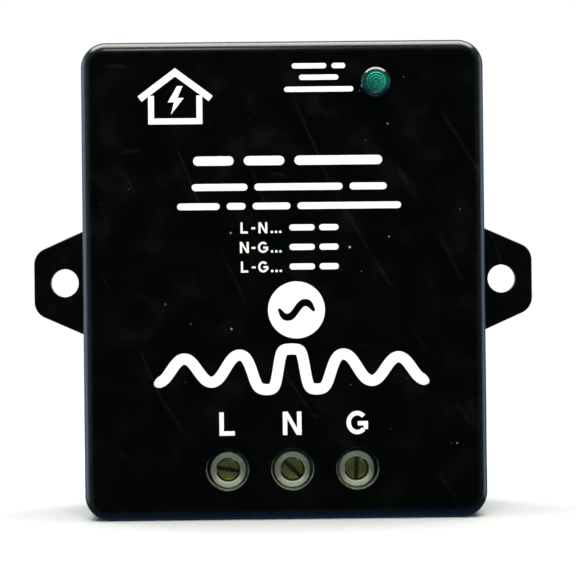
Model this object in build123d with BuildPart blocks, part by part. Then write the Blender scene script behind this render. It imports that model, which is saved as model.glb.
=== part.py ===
"""Whole house surge protector: a black moulded box on a thin plate with two screw ears.

Frame: millimetres, +X to the right, +Z up, the front face looks towards -Y, and Y = 0 is the wall.
"Depth" below always means a distance in front of the wall, so Plane.XZ.offset(depth) lies there.
"""

import os
from math import radians, sqrt, tan

from build123d import *

# ------------------------------------------------------------------ moulded case
case_width = 95.2
case_height = 113.0
overall_depth = 36.0  # wall to front face, without the lens
wall = 2.5
corner_radius = 6.0  # vertical corners
front_edge_radius = 3.0  # rounding all round the front face
rim_edge_radius = 0.4  # rounding at the case's open rim
least_corner_radius = 0.3  # inner corners keep this much where a wall is thick
same_size = 0.01  # two sizes nearer than this are one, for selectors

# ------------------------------------------------------------------ mounting plate and its ears
plate_thickness = 2.4
ear_span = 127.0
ear_hole_spacing = 111.5
ear_hole_diameter = 7.2
ear_tip_height = 15.2  # height of an ear's outer edge before its corners are rounded
ear_slope = 24.0  # degrees that an ear's upper and lower edge fall outwards
ear_corner_radius = 4.4
ear_edge_radius = 0.35
locating_rib_height = 2.0
locating_rib_width = 1.2
locating_clearance = 0.25  # locating rib to case wall

# ------------------------------------------------------------------ self-tapping screws and bosses
boss_inset = 8.0  # boss centres from the case's outer side, and from its top and bottom
boss_radius = 3.5
boss_rib_width = 1.6
boss_rib_start = 1.0  # boss ribs begin this far in front of the plate's locating rib
screw_radius = 1.45
screw_head_radius = 2.8
screw_sink = 0.15  # countersunk head below the plate's back face
plate_screw_length = 12.0
board_screw_length = 8.0
board_screw_head_height = 2.0
board_screw_crown_radius = 1.96  # flat top of the pan head
pilot_clearance = 0.02  # screw in its boss
through_clearance = 0.15  # screw or lead in the hole that it passes through
pilot_spare = 1.0  # pilot hole deeper than the screw
cross_recess_length = 3.0
cross_recess_width = 0.7
cross_recess_depth = 1.2

# ------------------------------------------------------------------ circuit board
board_gap = 3.8  # plate to the back of the board
board_thickness = 1.6
board_margin = 1.5  # board edge to case wall
board_notch_clearance = 1.0  # board corner notches round the bosses
board_corner_radius = 1.5
sheet_thickness = 0.4  # insulating sheet on the plate
sheet_clearance = 0.4
lead_tail = 1.2  # leads stand out of the back of the board
solder_height = 0.8
solder_rim = 0.7  # solder pad beyond the lead
solder_taper = 35.0  # degrees
board_boss_above_terminals = 22.0
board_boss_below_top = 34.0

# ------------------------------------------------------------------ wire terminals, one for each pole
terminal_above_bottom = 11.4
terminal_centre_x = 1.5
terminal_pitch = 15.3
slot_angles = {"l": -10.0, "n": -45.0, "g": 88.0}  # screw slots, from horizontal
housing_gap = 0.6  # between neighbouring housings
housing_height = 12.6
housing_block_depth = 15.2  # board to the top of the block
collar_recess = 5.0  # collar's rim behind the front face
collar_radius = 4.32
collar_bore_radius = 2.9
collar_edge_radius = 0.25
collar_tab_reach = 0.3  # two small tabs at the rim keep the screw in
collar_tab_width = 0.9
collar_tab_length = 1.2
collar_tab_angles = (62.0, 180.0)
access_hole_radius = 4.8
access_hole_rise = 0.65  # hole centres above the terminals' own
access_edge_radius = 0.35
body_width = 9.2
body_length = 9.8
body_floor = 2.2  # board to the underside of the brass body
body_clearance = 0.1  # brass body in its nylon pocket
wire_bore_radius = 2.5
wire_floor = 1.7  # brass under the wire bore
thread_length = 4.9  # threaded brass over the wire bore
pin_radius = 0.7
pin_spacing = 5.0
wire_mouth_spare = 0.4  # housing's wire mouth wider than the bore
wire_entry_radius = 4.2

# ------------------------------------------------------------------ clamp screws and their pressure pads
thread_radius = 2.0
thread_pitch = 0.7
running_clearance = 0.05
clamp_head_radius = 2.6
clamp_head_height = 2.6
clamp_head_recess = 1.8  # head below the collar's rim when the wire bore is clear
clamp_head_edge = 0.25
slot_width = 1.0
slot_depth = 1.1
pad_radius = 1.8
pad_thickness = 0.8
pad_lift = 0.05  # pad above the wire bore when the screw is backed out
spigot_radius = 0.7
thinnest_wire = 0.85

# ------------------------------------------------------------------ indicator lens and lamp
lens_from_right = 25.7
lens_below_top = 10.4
lens_radius = 3.65
lens_rim_height = 2.0
lens_height = 3.6
lens_ring_zone = 2.7
lens_rings = 4
lens_ring_depth = 0.2
lens_barrel_radius = 3.1
lens_bore_clearance = 0.05
lens_roof = 0.3  # top of the lamp cavity behind the front face
ring_radius = 5.0
ring_thickness = 0.6
lamp_radius = 2.5
lamp_flange_radius = 2.9
lamp_flange_height = 1.0
lamp_height = 8.4
lamp_clearance = 0.15
lamp_lead_radius = 0.3
lamp_lead_spacing = 2.54

# ------------------------------------------------------------------ components on the board
varistor_roof_gap = 3.2  # disc to the inside of the case's front
varistor_thickness = 5.6
varistor_edge_radius = 1.6
varistor_stand = 1.0
varistor_shift = 2.6  # to the left of its pole's centre line
varistor_above_terminals = 20.3
varistor_lead_spacing = 10.0
varistor_lead_skew = 1.5
lead_radius = 0.4
lead_grip = 2.0  # leads reach this far into a coated body

cutoff_radius = 2.0
cutoff_length = 11.0
cutoff_edge = 0.4
cutoff_shift = 3.9  # to the right of its pole's centre line
axial_stand = 0.5  # axial parts above the board
axial_reach = 2.4  # straight lead before it turns to the board
lead_bend = 1.0

fuse_radius = 3.18
fuse_length = 32.0
fuse_tube_radius = 2.9
fuse_cap_length = 6.4
fuse_cap_wall = 0.25
fuse_above_varistors = 16.6
fuse_row_pitch = 9.0

capacitor_size = (26.0, 9.0, 17.0)  # width, height, depth off the board
capacitor_above_fuses = 10.6
capacitor_centre_x = -13.0
capacitor_lead_spacing = 22.5
capacitor_edge_radius = 0.8
disc_capacitor_radius = 4.5
disc_capacitor_thickness = 3.6
disc_capacitor_edge_radius = 1.0
disc_capacitor_xs = (10.0, 21.0)
disc_capacitor_lead_spacing = 5.0

resistor_radius = 2.5
resistor_length = 15.0
resistor_waist = 0.4
resistor_cap_length = 3.0
resistor_cap_rounding = 0.25
resistor_above_capacitor = 10.0
resistor_xs = (-14.0, 9.5)
diode_radius = 1.35
diode_length = 5.0
diode_edge = 0.2
diode_above_resistors = 6.4
diode_x = -4.0

# ------------------------------------------------------------------ what follows from the sizes above
rim_depth = plate_thickness
inner_front = overall_depth - wall
inner_width = case_width - 2 * wall
inner_height = case_height - 2 * wall
inner_corner_radius = max(corner_radius - wall, least_corner_radius)
boss_x = case_width / 2 - boss_inset
boss_z = case_height / 2 - boss_inset
board_back = plate_thickness + board_gap
board_front = board_back + board_thickness
lead_tip = board_back - lead_tail
terminal_z = terminal_above_bottom - case_height / 2
collar_rim = overall_depth - collar_recess
housing_top = board_front + housing_block_depth
housing_width = terminal_pitch - housing_gap
body_back = board_front + body_floor
wire_depth = body_back + wire_floor + wire_bore_radius
body_top = wire_depth + wire_bore_radius + thread_length
clamp_head_top = collar_rim - clamp_head_recess
clamp_head_base = clamp_head_top - clamp_head_height
pad_back = wire_depth + wire_bore_radius + pad_lift
pad_front = pad_back + pad_thickness
shank_tip = pad_front + running_clearance
clamp_travel = 2 * wire_bore_radius + pad_lift - thinnest_wire
wire_mouth_radius = wire_bore_radius + wire_mouth_spare
pole_xs = {pole: terminal_centre_x + place * terminal_pitch for pole, place in (("l", -1), ("n", 0), ("g", 1))}
lens_x = case_width / 2 - lens_from_right
lens_z = case_height / 2 - lens_below_top
lens_cavity_radius = lamp_radius + lamp_clearance
lamp_top = overall_depth - lens_roof - lamp_clearance
lamp_base = lamp_top - lamp_height
lens_barrel_end = lamp_base + lamp_flange_height + lamp_clearance
board_boss_zs = (terminal_z + board_boss_above_terminals, case_height / 2 - board_boss_below_top)
varistor_z = terminal_z + varistor_above_terminals
varistor_radius = (overall_depth - wall - varistor_roof_gap - board_front - varistor_stand) / 2
varistor_depth = board_front + varistor_stand + varistor_radius
fuse_zs = [varistor_z + fuse_above_varistors + row * fuse_row_pitch for row in range(2)]
capacitor_z = fuse_zs[-1] + capacitor_above_fuses
resistor_z = capacitor_z + resistor_above_capacitor
diode_z = resistor_z + diode_above_resistors

corner_bosses = [(sx * boss_x, sz * boss_z) for sx in (-1, 1) for sz in (-1, 1)]
board_bosses = [(sx * boss_x, z) for sx in (-1, 1) for z in board_boss_zs]

os.makedirs("parts", exist_ok=True)


def finish(part, name):
    """Label a finished piece and write its STEP file."""
    part.label = name
    export_step(part, f"parts/{name}.step")
    print(f"{name}: {len(part.solids())} solid(s), {part.volume:.1f} mm3")


def turning_plane(x, z):
    """Plane for the half profile of a piece turned about a front-to-back axis: radius, depth."""
    return Plane(origin=(x, 0, z), x_dir=(1, 0, 0), z_dir=(0, 0, -1))


def turning_axis(x, z):
    """The front-to-back axis through one point of the front view."""
    return Axis((x, 0, z), (0, 1, 0))


def ear_half_height(x):
    """Half height of an ear, corners not yet rounded, at a distance x from the middle."""
    return ear_tip_height / 2 + (ear_span / 2 - x) * tan(radians(ear_slope))


# ------------------------------------------------------------------ case shell
with BuildPart() as case_shell:
    with BuildSketch(Plane.XZ.offset(rim_depth)):
        RectangleRounded(case_width, case_height, corner_radius)
    extrude(amount=overall_depth - rim_depth)
    fillet(faces().sort_by(Axis.Y)[0].edges(), radius=front_edge_radius)
    fillet(faces().sort_by(Axis.Y)[-1].edges(), radius=rim_edge_radius)
    with BuildSketch(Plane.XZ.offset(rim_depth)):
        RectangleRounded(inner_width, inner_height, inner_corner_radius)
    extrude(amount=inner_front - rim_depth, mode=Mode.SUBTRACT)
    # tall corner bosses take the plate's screws, and two ribs tie each to its walls
    with BuildSketch(Plane.XZ.offset(rim_depth)):
        with Locations(*corner_bosses):
            Circle(boss_radius)
    extrude(amount=inner_front - rim_depth)
    rib_start = rim_depth + locating_rib_height + boss_rib_start
    for x, z in corner_bosses:
        side = 1 if x > 0 else -1
        up = 1 if z > 0 else -1
        with BuildSketch(Plane.XZ.offset(rib_start)):
            with Locations((x + side * (boss_inset - wall) / 2, z)):
                Rectangle(boss_inset - wall, boss_rib_width)
            with Locations((x, z + up * (boss_inset - wall) / 2)):
                Rectangle(boss_rib_width, boss_inset - wall)
        extrude(amount=inner_front - rib_start)
    # shorter bosses carry the circuit board
    with BuildSketch(Plane.XZ.offset(board_front)):
        with Locations(*board_bosses):
            Circle(boss_radius)
    extrude(amount=inner_front - board_front)
    with BuildSketch(Plane.XZ.offset(rim_depth)):
        with Locations(*corner_bosses):
            Circle(screw_radius + pilot_clearance)
    extrude(amount=screw_sink + plate_screw_length + pilot_spare - rim_depth, mode=Mode.SUBTRACT)
    with BuildSketch(Plane.XZ.offset(board_front)):
        with Locations(*board_bosses):
            Circle(screw_radius + pilot_clearance)
    extrude(amount=board_screw_length - board_thickness + pilot_spare, mode=Mode.SUBTRACT)
    # three holes for the screwdriver, and the lens hole
    with BuildSketch(Plane.XZ.offset(inner_front)):
        with Locations(*[(x, terminal_z + access_hole_rise) for x in pole_xs.values()]):
            Circle(access_hole_radius)
        with Locations((lens_x, lens_z)):
            Circle(lens_barrel_radius + lens_bore_clearance)
    extrude(amount=wall, mode=Mode.SUBTRACT)
    front_circles = edges().filter_by(GeomType.CIRCLE).filter_by_position(
        Axis.Y, -overall_depth, -overall_depth
    )
    fillet(
        front_circles.filter_by(lambda edge: abs(edge.radius - access_hole_radius) < same_size),
        radius=access_edge_radius,
    )
    # three wire entries in the bottom wall
    with BuildSketch(Plane.XY.offset(-case_height / 2)):
        with Locations(*[(x, -wire_depth) for x in pole_xs.values()]):
            Circle(wire_entry_radius)
    extrude(amount=wall, mode=Mode.SUBTRACT)
finish(case_shell.part, "case_shell")

# ------------------------------------------------------------------ mounting plate
ear_root_x = case_width / 2 - corner_radius
with BuildPart() as mounting_plate:
    with BuildSketch(Plane.XZ):
        RectangleRounded(case_width, case_height, corner_radius)
    extrude(amount=plate_thickness)
    with BuildSketch(Plane.XZ):
        for side in (-1, 1):
            with BuildLine():
                Polyline(
                    (side * ear_root_x, -ear_half_height(ear_root_x)),
                    (side * ear_span / 2, -ear_tip_height / 2),
                    (side * ear_span / 2, ear_tip_height / 2),
                    (side * ear_root_x, ear_half_height(ear_root_x)),
                    close=True,
                )
            make_face()
        tips = vertices().filter_by(lambda point: abs(point.X) > ear_span / 2 - same_size)
        fillet(tips, radius=ear_corner_radius)
    extrude(amount=plate_thickness)
    front_rim = faces().filter_by(Plane.XZ).sort_by(Axis.Y)[0].outer_wire().edges()
    fillet(front_rim, radius=ear_edge_radius)
    # a rib just inside the case's walls locates the case on the plate
    rib_width = inner_width - 2 * locating_clearance
    rib_height = inner_height - 2 * locating_clearance
    rib_corner = max(inner_corner_radius - locating_clearance, least_corner_radius)
    sheet_width = rib_width - 2 * locating_rib_width
    sheet_height = rib_height - 2 * locating_rib_width
    sheet_corner = max(rib_corner - locating_rib_width, least_corner_radius)
    with BuildSketch(Plane.XZ.offset(plate_thickness)):
        RectangleRounded(rib_width, rib_height, rib_corner)
        RectangleRounded(sheet_width, sheet_height, sheet_corner, mode=Mode.SUBTRACT)
    extrude(amount=locating_rib_height)
    with BuildSketch(Plane.XZ):
        with Locations((-ear_hole_spacing / 2, 0), (ear_hole_spacing / 2, 0)):
            Circle(ear_hole_diameter / 2)
    extrude(amount=plate_thickness, mode=Mode.SUBTRACT)
    with Locations(Plane(origin=(0, 0, 0), x_dir=(1, 0, 0), z_dir=(0, 1, 0))):
        with Locations(*corner_bosses):
            CounterSinkHole(
                radius=screw_radius + through_clearance,
                counter_sink_radius=screw_head_radius + screw_sink + pilot_clearance,
                depth=plate_thickness,
                counter_sink_angle=90,
            )
finish(mounting_plate.part, "mounting_plate")

# ------------------------------------------------------------------ countersunk plate screws
with BuildPart() as plate_screws:
    cone_end = screw_sink + screw_head_radius - screw_radius
    for x, z in corner_bosses:
        with BuildSketch(turning_plane(x, z)):
            with BuildLine():
                Polyline(
                    (0, screw_sink),
                    (screw_head_radius, screw_sink),
                    (screw_radius, cone_end),
                    (screw_radius, screw_sink + plate_screw_length - screw_radius),
                    (0, screw_sink + plate_screw_length),
                    close=True,
                )
            make_face()
        revolve(axis=turning_axis(x, z))
    with BuildSketch(Plane.XZ.offset(screw_sink)):
        with Locations(*corner_bosses):
            Rectangle(cross_recess_length, cross_recess_width)
            Rectangle(cross_recess_width, cross_recess_length)
    extrude(amount=cross_recess_depth, mode=Mode.SUBTRACT)
finish(plate_screws.part, "plate_screws")

# ------------------------------------------------------------------ insulating sheet behind the board
with BuildPart() as insulating_sheet:
    with BuildSketch(Plane.XZ.offset(plate_thickness)):
        Rectangle(sheet_width - 2 * sheet_clearance, sheet_height - 2 * sheet_clearance)
        with Locations(*corner_bosses):
            Circle(boss_radius + sheet_clearance, mode=Mode.SUBTRACT)
        for x, z in corner_bosses:
            side = 1 if x > 0 else -1
            up = 1 if z > 0 else -1
            with Locations((x + side * boss_inset / 2, z + up * boss_inset / 2)):
                Rectangle(boss_inset, boss_inset, mode=Mode.SUBTRACT)
    extrude(amount=sheet_thickness)
finish(insulating_sheet.part, "insulating_sheet")

# ------------------------------------------------------------------ where every lead meets the board
varistor_xs = {pole: x - varistor_shift for pole, x in pole_xs.items()}
varistor_leads_at = [
    (x + side * varistor_lead_skew / 2, varistor_z + side * varistor_lead_spacing / 2)
    for x in varistor_xs.values()
    for side in (-1, 1)
]
cutoff_xs = {pole: x + cutoff_shift for pole, x in pole_xs.items()}
cutoff_lead_z = cutoff_length / 2 + axial_reach
cutoff_leads_at = [(x, varistor_z + side * cutoff_lead_z) for x in cutoff_xs.values() for side in (-1, 1)]
fuse_lead_x = fuse_length / 2 + axial_reach
fuse_leads_at = [(terminal_centre_x + side * fuse_lead_x, z) for z in fuse_zs for side in (-1, 1)]
resistor_lead_x = resistor_length / 2 + axial_reach
resistor_leads_at = [(x + side * resistor_lead_x, resistor_z) for x in resistor_xs for side in (-1, 1)]
diode_lead_x = diode_length / 2 + axial_reach
diode_leads_at = [(diode_x + side * diode_lead_x, diode_z) for side in (-1, 1)]
capacitor_leads_at = [
    (capacitor_centre_x + side * capacitor_lead_spacing / 2, capacitor_z) for side in (-1, 1)
]
disc_leads_at = [
    (x + side * disc_capacitor_lead_spacing / 2, capacitor_z) for x in disc_capacitor_xs for side in (-1, 1)
]
lamp_leads_at = [(lens_x + side * lamp_lead_spacing / 2, lens_z) for side in (-1, 1)]
pins_at = [(x + side * pin_spacing / 2, terminal_z) for x in pole_xs.values() for side in (-1, 1)]
component_leads_at = (
    varistor_leads_at + cutoff_leads_at + fuse_leads_at + resistor_leads_at
    + diode_leads_at + capacitor_leads_at + disc_leads_at
)
drilled = [(component_leads_at, lead_radius), (lamp_leads_at, lamp_lead_radius), (pins_at, pin_radius)]

# ------------------------------------------------------------------ circuit board
board_width = inner_width - 2 * board_margin
board_height = inner_height - 2 * board_margin
notch = boss_inset - wall - board_margin + boss_radius + board_notch_clearance
with BuildPart() as circuit_board:
    with BuildSketch(Plane.XZ.offset(board_back)):
        Rectangle(board_width, board_height)
        for sx in (-1, 1):
            for sz in (-1, 1):
                with Locations((sx * (board_width - notch) / 2, sz * (board_height - notch) / 2)):
                    Rectangle(notch, notch, mode=Mode.SUBTRACT)
        fillet(vertices(), radius=board_corner_radius)
        with Locations(*board_bosses):
            Circle(screw_radius + through_clearance, mode=Mode.SUBTRACT)
        for places, radius in drilled:
            with Locations(*places):
                Circle(radius + through_clearance, mode=Mode.SUBTRACT)
    extrude(amount=board_thickness)
finish(circuit_board.part, "circuit_board")

# ------------------------------------------------------------------ pan head screws hold the board
with BuildPart() as board_screws:
    for x, z in board_bosses:
        with BuildSketch(turning_plane(x, z)):
            with BuildLine():
                Polyline(
                    (0, board_back - board_screw_head_height),
                    (board_screw_crown_radius, board_back - board_screw_head_height),
                    (screw_head_radius, board_back - board_screw_head_height / 2),
                    (screw_head_radius, board_back),
                    (screw_radius, board_back),
                    (screw_radius, board_back + board_screw_length - screw_radius),
                    (0, board_back + board_screw_length),
                    close=True,
                )
            make_face()
        revolve(axis=turning_axis(x, z))
    with BuildSketch(Plane.XZ.offset(board_back - board_screw_head_height)):
        with Locations(*board_bosses):
            Rectangle(cross_recess_length, cross_recess_width)
            Rectangle(cross_recess_width, cross_recess_length)
    extrude(amount=cross_recess_depth, mode=Mode.SUBTRACT)
finish(board_screws.part, "board_screws")

# ------------------------------------------------------------------ solder cones on the back of the board
with BuildPart() as solder_joints:
    for places, radius in drilled:
        with BuildSketch(Plane.XZ.offset(board_back)):
            with Locations(*places):
                Circle(radius + solder_rim)
        extrude(amount=-solder_height, taper=solder_taper)
    for places, radius in drilled:
        with BuildSketch(Plane.XZ.offset(board_back)):
            with Locations(*places):
                Circle(radius + pilot_clearance)
        extrude(amount=-solder_height, mode=Mode.SUBTRACT)
finish(solder_joints.part, "solder_joints")


# ------------------------------------------------------------------ one wire terminal
def terminal_housing(x):
    """Nylon block with a round collar round the clamp screw and a pocket open to the board."""
    with BuildPart() as housing:
        with BuildSketch(Plane.XZ.offset(board_front)):
            with Locations((x, terminal_z)):
                Rectangle(housing_width, housing_height)
        extrude(amount=housing_block_depth)
        with BuildSketch(Plane.XZ.offset(housing_top)):
            with Locations((x, terminal_z)):
                Circle(collar_radius)
        extrude(amount=collar_rim - housing_top)
        with BuildSketch(Plane.XZ.offset(body_top)):
            with Locations((x, terminal_z)):
                Circle(collar_bore_radius)
        extrude(amount=collar_rim - body_top, mode=Mode.SUBTRACT)
        fillet(faces().sort_by(Axis.Y)[0].edges(), radius=collar_edge_radius)
        with BuildSketch(Plane.XZ.offset(board_front)):
            with Locations((x, terminal_z)):
                Rectangle(body_width + 2 * body_clearance, body_length + 2 * body_clearance)
        extrude(amount=body_top + body_clearance - board_front, mode=Mode.SUBTRACT)
        with BuildSketch(Plane.XY.offset(terminal_z - housing_height / 2)):
            with Locations((x, -wire_depth)):
                Circle(wire_mouth_radius)
        extrude(amount=housing_height / 2, mode=Mode.SUBTRACT)
        for angle in collar_tab_angles:
            tab_start = collar_rim - collar_edge_radius - collar_tab_length
            with BuildSketch(Plane.XZ.offset(tab_start)):
                with Locations((x, terminal_z)):
                    with PolarLocations(collar_bore_radius, 1, start_angle=angle):
                        Rectangle(2 * collar_tab_reach, collar_tab_width)
            extrude(amount=collar_tab_length)
    return housing.part


def terminal_body(x):
    """Brass block with the wire bore, the threaded hole over it and two solder pins."""
    with BuildPart() as body:
        with BuildSketch(Plane.XZ.offset(body_back)):
            with Locations((x, terminal_z)):
                Rectangle(body_width, body_length)
        extrude(amount=body_top - body_back)
        with BuildSketch(Plane.XZ.offset(lead_tip)):
            with Locations((x - pin_spacing / 2, terminal_z), (x + pin_spacing / 2, terminal_z)):
                Circle(pin_radius)
        extrude(amount=body_back - lead_tip)
        with BuildSketch(Plane.XY.offset(terminal_z - body_length / 2)):
            with Locations((x, -wire_depth)):
                Circle(wire_bore_radius)
        extrude(amount=body_length, mode=Mode.SUBTRACT)
        with BuildSketch(Plane.XZ.offset(wire_depth)):
            with Locations((x, terminal_z)):
                Circle(thread_radius + running_clearance)
        extrude(amount=body_top - wire_depth, mode=Mode.SUBTRACT)
    return body.part


def clamp_pad(x):
    """Small brass disc, swaged loosely to the screw's end, that presses on the wire."""
    with BuildPart() as pad:
        with BuildSketch(Plane.XZ.offset(pad_back)):
            with Locations((x, terminal_z)):
                Circle(pad_radius)
                Circle(spigot_radius + running_clearance, mode=Mode.SUBTRACT)
        extrude(amount=pad_thickness)
    return pad.part


def clamp_screw(x, slot_angle):
    """Slotted brass screw, turned in one piece: spigot, threaded shank and cheese head."""
    with BuildPart() as screw:
        with BuildSketch(turning_plane(x, terminal_z)):
            with BuildLine():
                Polyline(
                    (0, pad_back),
                    (spigot_radius, pad_back),
                    (spigot_radius, shank_tip),
                    (thread_radius, shank_tip),
                    (thread_radius, clamp_head_base),
                    (clamp_head_radius, clamp_head_base),
                    (clamp_head_radius, clamp_head_top - clamp_head_edge),
                    (clamp_head_radius - clamp_head_edge, clamp_head_top),
                    (0, clamp_head_top),
                    close=True,
                )
            make_face()
        revolve(axis=turning_axis(x, terminal_z))
        with BuildSketch(Plane.XZ.offset(clamp_head_top)):
            with Locations((x, terminal_z)):
                Rectangle(3 * clamp_head_radius, slot_width, rotation=slot_angle)
        extrude(amount=-slot_depth, mode=Mode.SUBTRACT)
    return screw.part


for pole, pole_x in pole_xs.items():
    finish(terminal_housing(pole_x), f"terminal_housing_{pole}")
    finish(terminal_body(pole_x), f"terminal_body_{pole}")
    finish(clamp_pad(pole_x), f"clamp_pad_{pole}")
    finish(clamp_screw(pole_x, slot_angles[pole]), f"clamp_screw_{pole}")

# ------------------------------------------------------------------ indicator lens
lens_top = overall_depth + lens_height
ring_pitch = lens_ring_zone / lens_rings
with BuildPart() as indicator_lens:
    with BuildSketch(turning_plane(lens_x, lens_z)):
        with BuildLine():
            Polyline(
                (0, overall_depth - lens_roof),
                (lens_cavity_radius, overall_depth - lens_roof),
                (lens_cavity_radius, lens_barrel_end),
                (lens_barrel_radius, lens_barrel_end),
                (lens_barrel_radius, overall_depth),
                (lens_radius, overall_depth),
                (lens_radius, overall_depth + lens_rim_height),
            )
            TangentArc(
                (lens_radius, overall_depth + lens_rim_height),
                (lens_ring_zone, lens_top),
                tangent=(0, 1),
            )
            ring_points = []
            for ring in range(lens_rings):
                crest = lens_ring_zone - ring * ring_pitch
                ring_points += [(crest, lens_top), (crest - ring_pitch / 2, lens_top - lens_ring_depth)]
            Polyline(*ring_points, (0, lens_top), (0, overall_depth - lens_roof))
        make_face()
    revolve(axis=turning_axis(lens_x, lens_z))
finish(indicator_lens.part, "indicator_lens")

# ------------------------------------------------------------------ push-on ring behind the front wall
with BuildPart() as lens_retaining_ring:
    with BuildSketch(Plane.XZ.offset(inner_front - ring_thickness)):
        with Locations((lens_x, lens_z)):
            Circle(ring_radius)
            Circle(lens_barrel_radius + pilot_clearance, mode=Mode.SUBTRACT)
    extrude(amount=ring_thickness)
finish(lens_retaining_ring.part, "lens_retaining_ring")

# ------------------------------------------------------------------ lamp in the lens barrel
with BuildPart() as led_lamp:
    with BuildSketch(turning_plane(lens_x, lens_z)):
        with BuildLine():
            Polyline(
                (0, lamp_top),
                (0, lamp_base),
                (lamp_flange_radius, lamp_base),
                (lamp_flange_radius, lamp_base + lamp_flange_height),
                (lamp_radius, lamp_base + lamp_flange_height),
                (lamp_radius, lamp_top - lamp_radius),
            )
            TangentArc((lamp_radius, lamp_top - lamp_radius), (0, lamp_top), tangent=(0, 1))
        make_face()
    revolve(axis=turning_axis(lens_x, lens_z))
    with BuildSketch(Plane.XZ.offset(lamp_base)):
        with Locations(*lamp_leads_at):
            Circle(lamp_lead_radius + pilot_clearance)
    extrude(amount=lead_grip, mode=Mode.SUBTRACT)
finish(led_lamp.part, "led_lamp")

with BuildPart() as lamp_spacer:
    with BuildSketch(Plane.XZ.offset(board_front)):
        with Locations((lens_x, lens_z)):
            Circle(lamp_flange_radius)
        with Locations(*lamp_leads_at):
            Circle(lamp_lead_radius + through_clearance, mode=Mode.SUBTRACT)
    extrude(amount=lamp_base - board_front)
finish(lamp_spacer.part, "lamp_spacer")

with BuildPart() as lamp_leads:
    with BuildSketch(Plane.XZ.offset(lead_tip)):
        with Locations(*lamp_leads_at):
            Circle(lamp_lead_radius)
    extrude(amount=lamp_base + lead_grip - lead_tip)
finish(lamp_leads.part, "lamp_leads")


# ------------------------------------------------------------------ varistors, one for each pair of poles
disc_edge = varistor_depth - sqrt(varistor_radius**2 - (varistor_lead_spacing / 2) ** 2)
varistor_lead_top = disc_edge + lead_grip


def varistor(x):
    """Coated disc that stands on its edge, with two blind holes for its leads."""
    with BuildPart() as disc:
        with BuildSketch(Plane.YZ.offset(x - varistor_thickness / 2)):
            with Locations((-varistor_depth, varistor_z)):
                Circle(varistor_radius)
        extrude(amount=varistor_thickness)
        fillet(edges(), radius=varistor_edge_radius)
        with BuildSketch(Plane.XZ.offset(board_front)):
            with Locations(*[place for place in varistor_leads_at if abs(place[0] - x) < varistor_thickness]):
                Circle(lead_radius + pilot_clearance)
        extrude(amount=varistor_lead_top - board_front, mode=Mode.SUBTRACT)
    return disc.part


for pair, pole in {"line_neutral": "l", "neutral_ground": "n", "line_ground": "g"}.items():
    finish(varistor(varistor_xs[pole]), f"varistor_{pair}")

with BuildPart() as varistor_leads:
    with BuildSketch(Plane.XZ.offset(lead_tip)):
        with Locations(*varistor_leads_at):
            Circle(lead_radius)
    extrude(amount=varistor_lead_top - lead_tip)
finish(varistor_leads.part, "varistor_leads")


# ------------------------------------------------------------------ leads of the parts that lie on the board
def bent_leads(places, ends, depth):
    """Round leads that leave each body's end at a depth and turn down through the board."""
    with BuildPart() as leads:
        for (x, z), (end_x, end_z) in zip(places, ends):
            with BuildLine() as path:
                FilletPolyline(
                    (end_x, -depth, end_z), (x, -depth, z), (x, -lead_tip, z), radius=lead_bend
                )
            with BuildSketch(Plane(origin=path.line @ 0, z_dir=path.line % 0)):
                Circle(lead_radius)
            sweep(path=path.line)
    return leads.part


# ------------------------------------------------------------------ thermal cut-offs beside the varistors
cutoff_depth = board_front + axial_stand + cutoff_radius
with BuildPart() as thermal_cutoffs:
    with BuildSketch(Plane.XY.offset(varistor_z - cutoff_length / 2)):
        with Locations(*[(x, -cutoff_depth) for x in cutoff_xs.values()]):
            Circle(cutoff_radius)
    extrude(amount=cutoff_length)
    chamfer(edges().filter_by(GeomType.CIRCLE), length=cutoff_edge)
finish(thermal_cutoffs.part, "thermal_cutoffs")
cutoff_ends = [(x, varistor_z + side * cutoff_length / 2) for x in cutoff_xs.values() for side in (-1, 1)]
finish(bent_leads(cutoff_leads_at, cutoff_ends, cutoff_depth), "thermal_cutoff_leads")

# ------------------------------------------------------------------ two ceramic fuses with metal caps
fuse_depth = board_front + axial_stand + fuse_radius
fuse_left = terminal_centre_x - fuse_length / 2
for row, fuse_z in enumerate(fuse_zs):
    with BuildPart() as fuse_tube:
        with BuildSketch(Plane.YZ.offset(fuse_left + fuse_cap_wall)):
            with Locations((-fuse_depth, fuse_z)):
                Circle(fuse_tube_radius)
        extrude(amount=fuse_length - 2 * fuse_cap_wall)
    finish(fuse_tube.part, ("line_fuse_tube", "neutral_fuse_tube")[row])

with BuildPart() as fuse_caps:
    for cap_start, open_start in (
        (fuse_left, fuse_left + fuse_cap_wall),
        (fuse_left + fuse_length - fuse_cap_length, fuse_left + fuse_length - fuse_cap_length),
    ):
        with BuildSketch(Plane.YZ.offset(cap_start)):
            with Locations(*[(-fuse_depth, z) for z in fuse_zs]):
                Circle(fuse_radius)
        extrude(amount=fuse_cap_length)
        with BuildSketch(Plane.YZ.offset(open_start)):
            with Locations(*[(-fuse_depth, z) for z in fuse_zs]):
                Circle(fuse_tube_radius + pilot_clearance)
        extrude(amount=fuse_cap_length - fuse_cap_wall, mode=Mode.SUBTRACT)
finish(fuse_caps.part, "fuse_caps")
fuse_ends = [(terminal_centre_x + side * fuse_length / 2, z) for z in fuse_zs for side in (-1, 1)]
finish(bent_leads(fuse_leads_at, fuse_ends, fuse_depth), "fuse_leads")

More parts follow.
